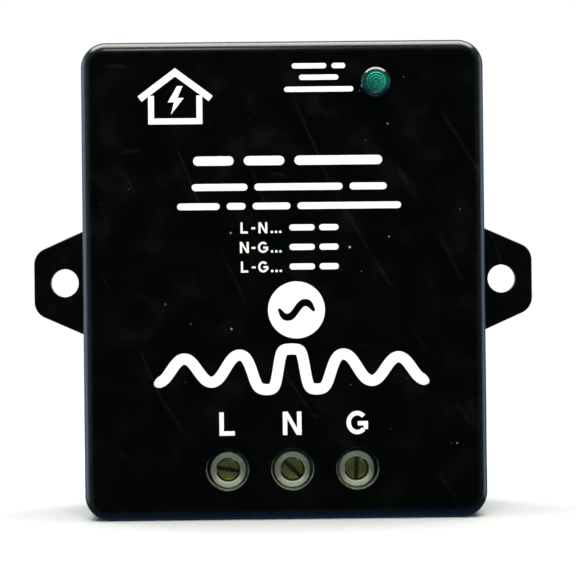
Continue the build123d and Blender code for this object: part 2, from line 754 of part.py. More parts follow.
# ------------------------------------------------------------------ film capacitor and two disc capacitors
with BuildPart() as film_capacitor:
    with BuildSketch(Plane.XZ.offset(board_front)):
        with Locations((capacitor_centre_x, capacitor_z)):
            Rectangle(capacitor_size[0], capacitor_size[1])
    extrude(amount=capacitor_size[2])
    fillet(edges(), radius=capacitor_edge_radius)
    with BuildSketch(Plane.XZ.offset(board_front)):
        with Locations(*capacitor_leads_at):
            Circle(lead_radius + pilot_clearance)
    extrude(amount=lead_grip, mode=Mode.SUBTRACT)
finish(film_capacitor.part, "film_capacitor")

disc_depth = board_front + varistor_stand + disc_capacitor_radius
with BuildPart() as disc_capacitors:
    with BuildSketch(Plane.XY.offset(capacitor_z - disc_capacitor_thickness / 2)):
        with Locations(*[(x, -disc_depth) for x in disc_capacitor_xs]):
            Circle(disc_capacitor_radius)
    extrude(amount=disc_capacitor_thickness)
    fillet(edges().filter_by(GeomType.CIRCLE), radius=disc_capacitor_edge_radius)
    with BuildSketch(Plane.XZ.offset(board_front)):
        with Locations(*disc_leads_at):
            Circle(lead_radius + pilot_clearance)
    extrude(amount=varistor_stand + lead_grip, mode=Mode.SUBTRACT)
finish(disc_capacitors.part, "disc_capacitors")

with BuildPart() as capacitor_leads:
    with BuildSketch(Plane.XZ.offset(lead_tip)):
        with Locations(*capacitor_leads_at):
            Circle(lead_radius)
    extrude(amount=board_front + lead_grip - lead_tip)
    with BuildSketch(Plane.XZ.offset(lead_tip)):
        with Locations(*disc_leads_at):
            Circle(lead_radius)
    extrude(amount=board_front + varistor_stand + lead_grip - lead_tip)
finish(capacitor_leads.part, "capacitor_leads")

# ------------------------------------------------------------------ two dropper resistors and the diode
resistor_depth = board_front + axial_stand + resistor_radius
with BuildPart() as dropper_resistors:
    for x in resistor_xs:
        left = x - resistor_length / 2
        with BuildSketch(Plane.YZ.offset(left)):
            with Locations((-resistor_depth, resistor_z)):
                Circle(resistor_radius - resistor_waist)
        extrude(amount=resistor_length)
        for start in (left, left + resistor_length - resistor_cap_length):
            with BuildSketch(Plane.YZ.offset(start)):
                with Locations((-resistor_depth, resistor_z)):
                    Circle(resistor_radius)
            extrude(amount=resistor_cap_length)
    cap_rims = edges().filter_by(GeomType.CIRCLE).filter_by(
        lambda edge: abs(edge.radius - resistor_radius) < same_size
    )
    fillet(cap_rims, radius=resistor_cap_rounding)
finish(dropper_resistors.part, "dropper_resistors")
resistor_ends = [(x + side * resistor_length / 2, resistor_z) for x in resistor_xs for side in (-1, 1)]
finish(bent_leads(resistor_leads_at, resistor_ends, resistor_depth), "resistor_leads")

diode_depth = board_front + axial_stand + diode_radius
with BuildPart() as diode:
    with BuildSketch(Plane.YZ.offset(diode_x - diode_length / 2)):
        with Locations((-diode_depth, diode_z)):
            Circle(diode_radius)
    extrude(amount=diode_length)
    chamfer(edges().filter_by(GeomType.CIRCLE), length=diode_edge)
finish(diode.part, "diode")
diode_ends = [(diode_x + side * diode_length / 2, diode_z) for side in (-1, 1)]
finish(bent_leads(diode_leads_at, diode_ends, diode_depth), "diode_leads")

# what the record and the couplings need, in millimetres
print(f"wire bore axis at depth {wire_depth:.3f}, mouth at z {terminal_z - body_length / 2:.3f}")
print(f"clamp screw advance for one turn {thread_pitch:.3f}, longest travel {clamp_travel:.3f}")
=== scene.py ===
# %% [markdown]
# # A whole house surge protector
# A black moulded box on a thin plate with two screw ears. Three brass wire terminals sit behind round
# holes, a small green lens stands at the top right, and the front carries white print.
# The CAD model is loaded as a fixed frame, so this lesson only gives it looks: the camera, the light,
# the print as thin layers of ink, and a finish for every part.

# %% Load the frame
from math import cos, pi, radians, sin

import bmesh
import bpy
import numpy as np
from mathutils import Matrix, Vector


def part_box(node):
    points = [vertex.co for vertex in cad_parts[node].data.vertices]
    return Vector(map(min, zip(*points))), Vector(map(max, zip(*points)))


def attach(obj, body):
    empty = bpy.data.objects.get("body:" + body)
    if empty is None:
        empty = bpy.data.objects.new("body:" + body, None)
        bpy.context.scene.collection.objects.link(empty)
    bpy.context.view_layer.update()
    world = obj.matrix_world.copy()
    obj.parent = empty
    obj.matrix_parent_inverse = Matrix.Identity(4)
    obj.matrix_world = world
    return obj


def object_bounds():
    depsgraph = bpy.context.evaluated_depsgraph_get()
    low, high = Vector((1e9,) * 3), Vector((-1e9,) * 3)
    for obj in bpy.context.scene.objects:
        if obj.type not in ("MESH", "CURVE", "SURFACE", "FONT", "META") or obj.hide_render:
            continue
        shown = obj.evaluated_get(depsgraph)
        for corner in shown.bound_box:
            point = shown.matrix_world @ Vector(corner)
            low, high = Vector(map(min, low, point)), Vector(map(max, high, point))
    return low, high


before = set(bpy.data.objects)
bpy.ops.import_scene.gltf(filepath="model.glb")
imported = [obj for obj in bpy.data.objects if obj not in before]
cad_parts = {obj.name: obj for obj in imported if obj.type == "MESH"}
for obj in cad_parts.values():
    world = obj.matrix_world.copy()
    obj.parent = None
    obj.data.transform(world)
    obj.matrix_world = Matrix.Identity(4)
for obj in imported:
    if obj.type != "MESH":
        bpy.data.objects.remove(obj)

MM = 0.001
cad_low, cad_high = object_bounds()
print("CAD box, mm:", [round(v / MM, 2) for v in (*cad_low, *cad_high)])

# %% [markdown]
# ## Measures from the frame
# Everything that is added sits on the front face, so its place comes from the case's own box: the
# face's depth, its middle, and half its width and height. The lens and the screws give the places
# that the finishes centre their rings on, and the middle screw gives its head's front and radius.
# The holes in the front wall belong to the case, so their radius and their small rise over the
# screws are written here.

# %% Measures
case_low, case_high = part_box("case_shell")
FACE_Y = case_low.y
FACE_X = (case_low.x + case_high.x) / 2
FACE_Z = (case_low.z + case_high.z) / 2
HALF_W = (case_high.x - case_low.x) / 2
HALF_H = (case_high.z - case_low.z) / 2


def middle(node):
    """The centre of a CAD node's box: the mean of its two corners."""
    low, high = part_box(node)
    return (low + high) / 2


POLES = ("l", "n", "g")
screw_places = [middle(f"clamp_screw_{pole}") for pole in POLES]
PITCH = screw_places[1].x - screw_places[0].x
head_low, head_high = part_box("clamp_screw_n")
HEAD_Y, HEAD_RADIUS = head_low.y, (head_high.x - head_low.x) / 2
lens_place = middle("indicator_lens")
HOLE_RADIUS, HOLE_RISE = 4.8 * MM, 0.65 * MM
print("face depth", round(FACE_Y / MM, 2), "screw pitch", round(PITCH / MM, 2),
      "head radius", round(HEAD_RADIUS / MM, 2))

# %% [markdown]
# ## Camera
# The box is seen face on from about 0.4 m with a longish lens. The camera is turned, tipped and rolled
# by about half a degree each. The place is worked out backwards: the middle of the front is put at
# a known place in the camera's own axes, and the camera is stood off from it by that much.

# %% Camera
FRONT_IN_CAMERA = Vector((-0.88, 1.92, -397.0)) * MM
YAW, TIP_UP, ROLL = radians(0.5), radians(0.15), radians(0.62)

forward = Vector((sin(YAW) * cos(TIP_UP), cos(YAW) * cos(TIP_UP), sin(TIP_UP)))
level_right = Vector((cos(YAW), -sin(YAW), 0))
level_up = level_right.cross(forward)
right = level_right * cos(ROLL) - level_up * sin(ROLL)
up = level_up * cos(ROLL) + level_right * sin(ROLL)
turn = Matrix((right, up, -forward)).transposed()

camera = bpy.data.objects.new("camera", bpy.data.cameras.new("camera"))
camera.data.lens, camera.data.sensor_width = 105.5, 36.0
camera.data.clip_start, camera.data.clip_end = 0.01, 20.0
camera.matrix_world = Matrix.Translation(
    Vector((FACE_X, FACE_Y, FACE_Z)) - turn @ FRONT_IN_CAMERA
) @ turn.to_4x4()
bpy.context.scene.collection.objects.link(camera)
bpy.context.scene.camera = camera
bpy.context.scene.view_settings.view_transform = "Standard"
print("camera at, mm:", [round(v / MM, 1) for v in camera.matrix_world.translation])

# %% [markdown]
# ## Shader arithmetic
# A finish is mostly arithmetic on patterns. Building it node by node hides that, so a small class
# wraps one socket and lets Python's operators add the Math nodes. One method adds any other node.

# %% Shader arithmetic
class Wire:
    """A socket of a material's node tree. Its operators add Math nodes; node() adds any other."""

    def __init__(self, tree, socket=None):
        self.tree, self.socket = tree, socket

    def node(self, kind, settings=None, sockets=None, out=0):
        """Adds a node: its settings first, then its sockets' values or links. Returns one output."""
        made = self.tree.nodes.new(kind)
        for name, value in (settings or {}).items():
            setattr(made, name, value)
        for key, value in (sockets or {}).items():
            if isinstance(value, Wire):
                self.tree.links.new(value.socket, made.inputs[key])
            else:
                made.inputs[key].default_value = value
        return Wire(self.tree, made.outputs[out])

    def math(self, operation, first, second=0.0):
        return self.node("ShaderNodeMath", {"operation": operation}, {0: first, 1: second})

    def __add__(self, other):
        return self.math("ADD", self, other)

    def __sub__(self, other):
        return self.math("SUBTRACT", self, other)

    def __rsub__(self, other):
        return self.math("SUBTRACT", other, self)

    def __mul__(self, other):
        return self.math("MULTIPLY", self, other)

    def __truediv__(self, other):
        return self.math("DIVIDE", self, other)

    def __pow__(self, other):
        return self.math("POWER", self, other)

    def __abs__(self):
        return self.math("ABSOLUTE", self)

    __radd__, __rmul__ = __add__, __mul__

    def rise(self, low, high):
        """0 below low, 1 above high and a smooth step between. With low above high it falls."""
        flip = low > high
        step = self.node("ShaderNodeMapRange", {"interpolation_type": "SMOOTHSTEP"},
                         {"Value": self, "From Min": min(low, high), "From Max": max(low, high)})
        return 1 - step if flip else step

    def ripple(self, length, operation="SINE"):
        """A sine or cosine of this distance, from -1 to 1, one wave for each length in millimetres."""
        return self.node("ShaderNodeMath", {"operation": operation}, {0: self * (2 * pi / (length * MM))})

    def clamp(self):
        """Kept between 0 and 1."""
        return self.node("ShaderNodeClamp", None, {"Value": self})

    def mix(self, low, high):
        """The colour low where this mask is 0 and the colour high where it is 1."""
        ends = [value if isinstance(value, Wire) else rgba(value) for value in (low, high)]
        return self.node("ShaderNodeMix", {"data_type": "RGBA"}, {0: self, 6: ends[0], 7: ends[1]}, 2)


def rgba(colour):
    """A colour of three numbers, or one grey, with full alpha."""
    return (*colour, 1.0) if isinstance(colour, (tuple, list)) else (colour, colour, colour, 1.0)


# %% [markdown]
# ## Patterns that the finishes share
# All of them read Object coordinates in metres, so a size in millimetres is a real size on the part.
# Noise gives mottling, a stretched noise gives drawn or brushed metal, thresholded cells give dust,
# and thin bands of a bent wave, broken up by noise, give hairline scratches.

# %% Patterns
def object_place(wire, stretch=(1, 1, 1), turn=(0, 0, 0), centre=(0, 0, 0)):
    """Object coordinates, moved so that centre is the origin, turned and stretched by a Mapping node."""
    coords = wire.node("ShaderNodeTexCoord", out="Object")
    away = coords.node("ShaderNodeVectorMath", {"operation": "SUBTRACT"}, {0: coords, 1: centre})
    return wire.node("ShaderNodeMapping", None, {"Vector": away, "Rotation": turn, "Scale": stretch})


def axis_parts(vector):
    """The x, y and z of a vector as three numbers."""
    split = vector.node("ShaderNodeSeparateXYZ", None, {0: vector})
    node = split.socket.node
    return [Wire(vector.tree, node.outputs[i]) for i in range(3)]


def noise(place, size, detail=3.0, rough=0.55):
    """Noise from 0 to 1 whose blotches are about size millimetres across."""
    return place.node("ShaderNodeTexNoise", None, {
        "Vector": place, "Scale": 1 / (size * MM), "Detail": detail, "Roughness": rough})


def specks(place, spacing, share, size=0.12):
    """1 on small round specks: cells of the given spacing, of which only a share holds one."""
    cells = {"Vector": place, "Scale": 1 / (spacing * MM)}
    near = place.node("ShaderNodeTexVoronoi", None, cells, "Distance")
    pick = place.node("ShaderNodeTexVoronoi", None, cells, "Color")
    return near.rise(size, size * 0.4) * axis_parts(pick)[0].rise(1 - share, 1 - share + 0.01)


HAIR_CREST = 0.988


def hairlines(wire, spacing, angle, share=0.5):
    """1 along thin, slightly bent lines: the crest of a distorted wave, kept where a noise is high."""
    place = object_place(wire, turn=(0, angle, angle * 0.7))
    wave = place.node("ShaderNodeTexWave", {"wave_type": "BANDS"}, {
        "Vector": place, "Scale": 0.3 / (spacing * MM), "Distortion": 6.0, "Detail": 2.0,
        "Detail Scale": 0.35})
    broken = noise(place, spacing * 1.6, 2).rise(1 - share, 1 - share + 0.08)
    return wave.rise(HAIR_CREST, 1.0) * broken


def pole_offsets(wire, rise=0.0):
    """How far a point is from its own terminal's axis: x wrapped by the pitch, z, and the radius.

    The holes in the front sit a little above the screws, so their axes are raised by rise.
    """
    x, _, z = axis_parts(object_place(wire))
    off_x = wire.node("ShaderNodeMath", {"operation": "WRAP"}, {
        0: x - screw_places[1].x, 1: PITCH / 2, 2: -PITCH / 2})
    off_z = z - (screw_places[1].z + rise)
    return off_x, off_z, (off_x * off_x + off_z * off_z) ** 0.5


def band(value, low, high, soft):
    """1 between low and high, fading over soft on both sides."""
    return value.rise(low - soft, low) * value.rise(high + soft, high)


# %% [markdown]
# ## The common ground of every finish
# Each finish is one Principled surface. What varies over the surface goes into base colour, roughness
# and a bump in real height; what doesn't vary is a plain number on the shader's own socket.

# %% Building a finish
def start_finish(name):
    """A new material with an empty tree, and a Wire that adds nodes to it."""
    material = bpy.data.materials.new(name)
    material.use_nodes = True
    material.node_tree.nodes.clear()
    return material, Wire(material.node_tree)


def end_finish(material, wire, colour, roughness, height=None, depth=0.02, **constants):
    """Principled surface with a colour, a roughness and a bump height (0 to 1, depth in mm)."""
    sockets = {"Base Color": colour if isinstance(colour, Wire) else rgba(colour), "Roughness": roughness}
    if height is not None:
        sockets["Normal"] = wire.node("ShaderNodeBump", None, {
            "Height": height, "Distance": depth * MM, "Strength": 1.0}, "Normal")
    sockets.update({key.replace("_", " "): value for key, value in constants.items()})
    surface = wire.node("ShaderNodeBsdfPrincipled", None, sockets)
    output = wire.tree.nodes.new("ShaderNodeOutputMaterial")
    wire.tree.links.new(surface.socket, output.inputs["Surface"])
    return material


# %% [markdown]
# ## Moulded plastics
# The case is a glossy black moulding that has been handled: faint mottled gloss, hairline scratches,
# a few specks of dust and paler, rubbed edges. The plate, the wire housings and the small inner
# mouldings are the same idea with other numbers. Wear could be painted or baked from the mesh's
# curvature. Here an edge is where two of the distances to the case's sides are small at once, which
# Object coordinates give directly. The lower rims of the holes get a painted highlight: a pale ring
# round each hole's axis.

# %% Moulded plastics
RUB_FADES, RUB_FULL = 3.2 * MM, 0.6 * MM
DUST = (0.34, 0.35, 0.33)


def edge_rub(x, y, z):
    """1 where two of the front, the sides and the ends are near at once, which is along an edge."""
    side = abs(x - FACE_X).rise(HALF_W - RUB_FADES, HALF_W - RUB_FULL)
    end = abs(z - FACE_Z).rise(HALF_H - RUB_FADES, HALF_H - RUB_FULL)
    front = y.rise(FACE_Y + 3.0 * MM, FACE_Y + 0.8 * MM)
    return side * end + side * front + end * front


def hole_rim_highlights(wire, x, y, z):
    """1 on the rounded lower rims of the three holes, for a painted highlight: a thin ring about each, near
    the face.
    """
    _, off_z, radius = pole_offsets(wire, HOLE_RISE)
    ring = band(radius, HOLE_RADIUS + 0.06 * MM, HOLE_RADIUS + 0.2 * MM, 0.1 * MM)
    lower = off_z.rise(3.2 * MM, -0.5 * MM)
    near = (abs(z - screw_places[1].z).rise(6 * MM, 5.5 * MM)
            * abs(x - screw_places[1].x).rise(1.5 * PITCH + MM, 1.5 * PITCH)
            * y.rise(FACE_Y + 1.0 * MM, FACE_Y + 0.5 * MM))
    return ring * lower * near


def moulded(name, colour, worn, roughness, mottle=4.0, grain=0.25, depth=0.004, dust=0.0,
            scratches=0.0, rub=None, rim_highlight=None, **constants):
    """Plastic: colour pulled to worn by blotches, scratches, dust, rubbed edges; rims get a painted
    highlight.
    """
    material, wire = start_finish(name)
    place = object_place(wire)
    cloud, fine = noise(place, mottle, 4), noise(place, grain, 2)
    wear = cloud.rise(0.45, 0.8) * 0.25
    gloss = roughness + (cloud - 0.5) * 0.12 + (fine - 0.5) * 0.05
    height = fine
    if scratches:
        lines = (hairlines(wire, 13, 0.5) + hairlines(wire, 19, 2.2) + hairlines(wire, 9, 1.35, 0.4)
                 ) * scratches
        wear, gloss = wear + lines * 0.8, gloss + lines * 0.25
        height = height - lines * 2.5
    if rub:
        wear = wear + edge_rub(*axis_parts(place)) * noise(place, 1.1, 4, 0.7).rise(0.42, 0.7) * rub
    shade = wear.clamp().mix(colour, worn)
    # Painted highlight: the lower hole rims are lightened and made a little rougher.
    if rim_highlight:
        rim = hole_rim_highlights(wire, *axis_parts(place)) * noise(place, 1.2, 3).rise(0.25, 0.6)
        shade, gloss = rim.mix(shade, rim_highlight), gloss + rim * 0.15
    if dust:
        flecks = specks(place, 3.1, dust) + specks(place, 1.3, dust * 0.35, 0.1)
        shade = flecks.mix(shade, DUST)
        gloss = gloss + flecks * 0.4
    return end_finish(material, wire, shade, gloss, height, depth, **constants)


# The case's last colour is the painted highlight on the lower rims of the holes.
case_black = moulded("case_black", (0.0004, 0.0007, 0.0005), (0.010, 0.012, 0.009), 0.22, mottle=9.0,
                     grain=0.3, depth=0.0015, dust=0.05, scratches=0.22, rub=0.6,
                     rim_highlight=(0.10, 0.095, 0.06))
plate_black = moulded("plate_black", (0.0006, 0.0009, 0.0008), (0.008, 0.009, 0.008), 0.34, mottle=3.0,
                      grain=0.35, depth=0.006, dust=0.06, scratches=0.4, Specular_IOR_Level=0.35)
nylon_natural = moulded("nylon_natural", (0.42, 0.51, 0.40), (0.66, 0.72, 0.59), 0.28, mottle=0.9,
                        grain=0.2, depth=0.006, Subsurface_Weight=0.35, Subsurface_Scale=0.0012,
                        Subsurface_Radius=(1.0, 0.9, 0.6))
cutoff_case = moulded("cutoff_case", (0.62, 0.60, 0.52), (0.70, 0.68, 0.60), 0.42, mottle=1.5, grain=0.15)
diode_black = moulded("diode_black", (0.012, 0.012, 0.012), (0.04, 0.04, 0.04), 0.38, mottle=0.8, grain=0.1)
film_yellow = moulded("film_yellow", (0.72, 0.46, 0.06), (0.80, 0.58, 0.16), 0.36, mottle=2.2, grain=0.2)
print("plastics:", len(bpy.data.materials))

# %% [markdown]
# ## Metals
# Turned parts carry fine rings about their own axis, drawn wire carries lines along its length, and
# plated sheet is mottled. Brass that has been handled is darker and rougher in blotches. The three
# clamp screws share one finish: their x is wrapped by the pitch, so each screw has its own centre.

# %% Metals
# The colour of the painted shade in the screw slots and round the heads.
SLOT_SHADE = (0.085, 0.074, 0.030)


def metal(name, colour, tarnish, roughness, blotch=1.2, lines=None, amount=0.5, ringed=False,
          depth=0.006, dull=0.4):
    """Metal: colour pulled towards dull tarnish by blotches, with rings or lines of the given size.

    A ringed head is also painted darker and less metallic below its top face, which is its slot, and round
    its rim: painted shade.
    """
    material, wire = start_finish(name)
    place = object_place(wire)
    stain = noise(place, blotch, 4, 0.65).rise(0.42, 0.72) * amount
    fine = noise(place, 0.12, 3)
    height = fine
    if ringed:
        radius = pole_offsets(wire)[2] + (noise(place, 1.5, 2) - 0.5) * 0.25 * MM
        rings = radius.ripple(lines)
        height = fine * 0.2 + rings * 0.5
        stain = stain * 0.5 + rings.rise(-0.2, 0.9) * 0.6
        # Painted shade: the slot below the head's top face and the head's rim are darkened and made less
        # metallic.
        sunk = axis_parts(place)[1].rise(HEAD_Y + 0.12 * MM, HEAD_Y + 0.5 * MM)
        slot_shade = (sunk + radius.rise(HEAD_RADIUS - 0.3 * MM, HEAD_RADIUS + 0.05 * MM) * 0.6).clamp()
    elif lines:
        height = fine * 0.5 + noise(object_place(wire, stretch=(0.08, 1, 1)), lines, 2) * 0.5
    gloss = roughness + stain * 0.25 + (fine - 0.5) * 0.12
    shade, shine = stain.mix(colour, tarnish), 1 - stain * dull
    if ringed:
        shade, shine = slot_shade.mix(shade, SLOT_SHADE), shine * (1 - slot_shade)
    return end_finish(material, wire, shade, gloss, height, depth, Metallic=shine)


brass = metal("brass", (0.60, 0.43, 0.17), (0.30, 0.22, 0.09), 0.34, 1.0, amount=0.8, dull=0.8)
screw_brass = metal("screw_brass", (0.74, 0.64, 0.24), (0.26, 0.24, 0.10), 0.36, 0.9, lines=0.62,
                    amount=0.9, ringed=True, depth=0.085, dull=0.9)
screw_steel = metal("screw_steel", (0.62, 0.62, 0.60), (0.30, 0.28, 0.24), 0.30, 1.1)
ring_steel = metal("ring_steel", (0.56, 0.56, 0.55), (0.28, 0.27, 0.25), 0.28, 1.5)
solder = metal("solder", (0.66, 0.67, 0.68), (0.36, 0.36, 0.36), 0.30, 0.8, depth=0.02)
lead_tin = metal("lead_tin", (0.70, 0.70, 0.69), (0.42, 0.41, 0.39), 0.30, 1.0, lines=0.2)
cap_nickel = metal("cap_nickel", (0.68, 0.66, 0.60), (0.36, 0.34, 0.30), 0.22, 1.4)
print("metals:", len(bpy.data.materials))

# %% [markdown]
# ## Dipped and fired coats
# Varistors, capacitors and resistors wear a thick dipped coat: it pools, so its colour and gloss roll
# gently, with pin holes. The fuse tubes are glazed ceramic. A clear coat over a rougher base gives the
# wet look.

# %% Dipped coats
def dipped(name, colour, deep, roughness, wave=2.5, depth=0.05, **constants):
    """Coat: colour to deep by a soft wave, pin holes as tiny dark dents, a bump that rolls."""
    material, wire = start_finish(name)
    place = object_place(wire)
    roll = noise(place, wave, 2, 0.4)
    holes = specks(place, 0.7, 0.2, 0.14)
    shade = holes.mix(roll.rise(0.3, 0.7).mix(colour, deep), tuple(v * 0.3 for v in deep))
    gloss = roughness + (noise(place, 0.5, 3) - 0.5) * 0.14
    return end_finish(material, wire, shade, gloss, roll - holes * 0.3, depth, **constants)


varistor_coat = dipped("varistor_coat", (0.020, 0.065, 0.26), (0.012, 0.04, 0.17), 0.28, Coat_Weight=0.4)
disc_ochre = dipped("disc_ochre", (0.50, 0.26, 0.06), (0.40, 0.19, 0.04), 0.36, Coat_Weight=0.3)
resistor_coat = dipped("resistor_coat", (0.42, 0.30, 0.18), (0.34, 0.23, 0.13), 0.40, 1.6)
fuse_ceramic = dipped("fuse_ceramic", (0.78, 0.76, 0.70), (0.70, 0.67, 0.60), 0.30, 1.2, 0.02,
                      Coat_Weight=0.3)
print("coats:", len(bpy.data.materials))

# %% [markdown]
# ## Board and fibre sheet
# The circuit board is glass cloth in resin: a fine weave under a green mask. The fibre sheet is grey
# pressed paper with short fibres. A scanned texture would be the usual way to make both; two
# crossed waves and two stretched noises do it without an image and at the real thread size.

# %% Board and sheet
def woven(name, colour, thread, spacing, roughness, depth):
    """Glass cloth in resin: two crossed sine waves of the given spacing, seen as a faint weave."""
    material, wire = start_finish(name)
    place = object_place(wire)
    x, _, z = axis_parts(place)
    weave = (x.ripple(spacing) * z.ripple(spacing) + 1) * 0.5
    cloud = noise(place, 6, 3)
    shade = (weave * 0.5 + cloud.rise(0.3, 0.75) * 0.4).mix(colour, thread)
    return end_finish(material, wire, shade, roughness + (cloud - 0.5) * 0.1, weave, depth)


board_laminate = woven("board_laminate", (0.020, 0.14, 0.055), (0.045, 0.22, 0.095), 0.6, 0.32, 0.006)


def pressed_fibre(name, colour, fibre):
    """Grey paper board: short fibres from noise that is stretched two ways."""
    material, wire = start_finish(name)
    long_x, long_z = (noise(object_place(wire, stretch=s), 0.5, 4, 0.7) for s in ((0.2, 1, 1), (1, 1, 0.2)))
    hairs = (long_x * long_z).rise(0.18, 0.42)
    return end_finish(material, wire, hairs.mix(colour, fibre), 0.75 + hairs * 0.1, hairs, 0.03)


fibre_sheet = pressed_fibre("fibre_sheet", (0.16, 0.17, 0.18), (0.30, 0.31, 0.31))
print("board and sheet:", len(bpy.data.materials))

# %% [markdown]
# ## Lens and lamp
# The lens is clear green plastic with moulded rings over its middle. Full transmission would show
# only the dark hole behind it, so part of its colour is plain tint. The rings are a cosine of the
# distance from the lens's axis: it feeds the bump and paints shade into the grooves. The rim is painted
# darker as shade, and the tint is painted paler towards the upper right as light that the dome gathers.

# %% Lens and lamp
RINGS_FULL, RINGS_END = 2.35 * MM, 2.75 * MM
# The colour of the painted light at the lens's upper right.
PAINTED_LIGHT_GREEN = (0.03, 0.52, 0.34)


def clear_green(name, colour, deep, roughness, rings=None, **constants):
    """Clear tinted plastic with patches of haze; with rings, painted shade in the grooves and at the rim.

    The grooves lie where the cosine of the radius is high, and a painted glow of light rises along up and
    right.
    """
    material, wire = start_finish(name)
    place = object_place(wire)
    haze = noise(place, 0.8, 4, 0.6)
    tint = haze.rise(0.35, 0.75).mix(colour, tuple(v * 0.6 for v in colour))
    height, depth = noise(place, 0.25, 2), 0.003
    if rings:
        x, _, z = axis_parts(object_place(wire, centre=lens_place))
        radius = (x * x + z * z) ** 0.5
        groove = radius.ripple(rings, "COSINE")
        inner = radius.rise(RINGS_END, RINGS_FULL)
        # Painted light: the tint grows paler towards the upper right.
        glow = (x * 0.7 + z + radius * 0.25).rise(-2.2 * MM, 2.6 * MM)
        # Painted shade: the grooves take the deep tone, and the rim outside the rings half of it.
        tint = (groove.rise(-0.5, 0.6) * 0.8).mix(glow.mix(tint, PAINTED_LIGHT_GREEN), deep)
        tint = inner.mix(tuple(v * 0.5 for v in deep), tint)
        height, depth = groove * inner * 0.5 + height * 0.05, 0.10
    return end_finish(material, wire, tint, roughness + haze.rise(0.45, 0.8) * 0.12,
                      height, depth, **constants)


# The lens's deep colour is the painted shade of its grooves and rim.
lens_green = clear_green("lens_green", (0.001, 0.17, 0.11), (0.0004, 0.028, 0.04), 0.09, rings=0.60,
                         Transmission_Weight=0.4, IOR=1.49, Coat_Weight=0.3, Coat_Roughness=0.03)
lamp_green = clear_green("lamp_green", (0.10, 0.75, 0.35), (0.05, 0.5, 0.2), 0.15,
                         Transmission_Weight=0.3, IOR=1.53)
print("clear parts:", len(bpy.data.materials))

# %% [markdown]
# ## Giving each CAD part its finish
# The record names a material slot for each node, and the imported meshes carry that name, so a table
# from slot to finish is enough. The clamp screws share the brass slot but have the turned finish.

# %% Finishes on the CAD parts
BY_SLOT = {
    "case_black": case_black, "plate_black": plate_black, "screw_steel": screw_steel,
    "fibre_sheet": fibre_sheet, "board_laminate": board_laminate, "solder": solder,
    "nylon_natural": nylon_natural, "brass": brass, "lens_green": lens_green, "ring_steel": ring_steel,
    "lamp_green": lamp_green, "lead_tin": lead_tin, "varistor_coat": varistor_coat,
    "cutoff_case": cutoff_case, "fuse_ceramic": fuse_ceramic, "cap_nickel": cap_nickel,
    "film_yellow": film_yellow, "disc_ochre": disc_ochre, "resistor_coat": resistor_coat,
    "diode_black": diode_black,
}
for node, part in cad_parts.items():
    slot_name = part.data.materials[0].name.split(".")[0]
    finish = screw_brass if node.startswith("clamp_screw") else BY_SLOT[slot_name]
    for slot in part.material_slots:
        slot.material = finish
print("finished nodes:", len(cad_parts))

# %% [markdown]
# ## The print
# The white print is a screen-printed ink film. A flat decal would need an image, so the ink is real:
# slabs a few hundredths of a millimetre thick that lie on the face. Every mark is a band between a left
# and a right curve, which is enough for bars, letters, waves and discs. The marks are generic: letters
# for the three terminals, bars where there was text, and plain pictograms.

# %% Ink slabs
INK_GAP, INK_THICK = 0.005 * MM, 0.03 * MM


def ribbon(path, width, rounded=False):
    """Left and right curves at half the width from a path, mitred at its corners.

    The offset at a corner is the sum of its two normals over one plus their dot product. Rounded
    ends shrink the half width to the height of a circle over the last half width of the path.
    """
    path = np.asarray(path, float)
    steps = np.diff(path, axis=0)
    lengths = np.linalg.norm(steps, axis=1)
    normals = np.stack([-steps[:, 1], steps[:, 0]], 1) / lengths[:, None]
    before, after = np.vstack([normals[:1], normals]), np.vstack([normals, normals[-1:]])
    mitre = (before + after) / (1 + (before * after).sum(1))[:, None]
    half = np.full(len(path), width / 2)
    if rounded:
        along = np.concatenate([[0], np.cumsum(lengths)])
        from_end = np.minimum(along, along[-1] - along) / (width / 2)
        half = half * np.sqrt(1 - np.clip(1 - from_end, 0, 1) ** 2)
    return path + mitre * half[:, None], path - mitre * half[:, None]


def slab(left, right):
    """Corners and faces of a closed ink slab between two curves, in face millimetres.

    Each station along the curves has four corners: left front, right front, right back, left back.
    Quads join each station to the next, and a quad closes each end.
    """
    left, right = np.asarray(left, float), np.asarray(right, float)
    count = len(left)
    front, back = FACE_Y - INK_GAP - INK_THICK, FACE_Y - INK_GAP
    corners = np.empty((count, 4, 3))
    for k, (curve, y) in enumerate(((left, front), (right, front), (right, back), (left, back))):
        corners[:, k, 0] = FACE_X + curve[:, 0] * MM
        corners[:, k, 1] = y
        corners[:, k, 2] = FACE_Z + curve[:, 1] * MM
    i, k = np.meshgrid(np.arange(count - 1), np.arange(4), indexing="ij")
    j = (k + 1) % 4
    sides = np.stack([4 * i + k, 4 * i + j, 4 * i + 4 + j, 4 * i + 4 + k], -1).reshape(-1, 4)
    ends = np.array([[3, 2, 1, 0], 4 * (count - 1) + np.arange(4)])
    return corners.reshape(-1, 3), np.vstack([sides, ends])


def ink_piece(name, bands):
    """One ink piece of several bands, its doubled corners merged, riding on the case."""
    corners, faces, start = [], [], 0
    for left, right in bands:
        points, quads = slab(left, right)
        corners.append(points)
        faces.append(quads + start)
        start += len(points)
    mesh = bpy.data.meshes.new(name)
    mesh.from_pydata(np.vstack(corners).tolist(), [], np.vstack(faces).tolist())
    work = bmesh.new()
    work.from_mesh(mesh)
    bmesh.ops.remove_doubles(work, verts=work.verts, dist=1e-7)
    work.to_mesh(mesh)
    work.free()
    mesh.validate()
    mesh.materials.append(ink_white)
    piece = bpy.data.objects.new(name, mesh)
    bpy.context.scene.collection.objects.link(piece)
    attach(piece, "root")


def moved(bands, x, z, scale=1.0):
    """Bands scaled about their origin and moved to x, z on the face."""
    shift = np.array([x, z])
    return [(np.asarray(a, float) * scale + shift, np.asarray(b, float) * scale + shift) for a, b in bands]


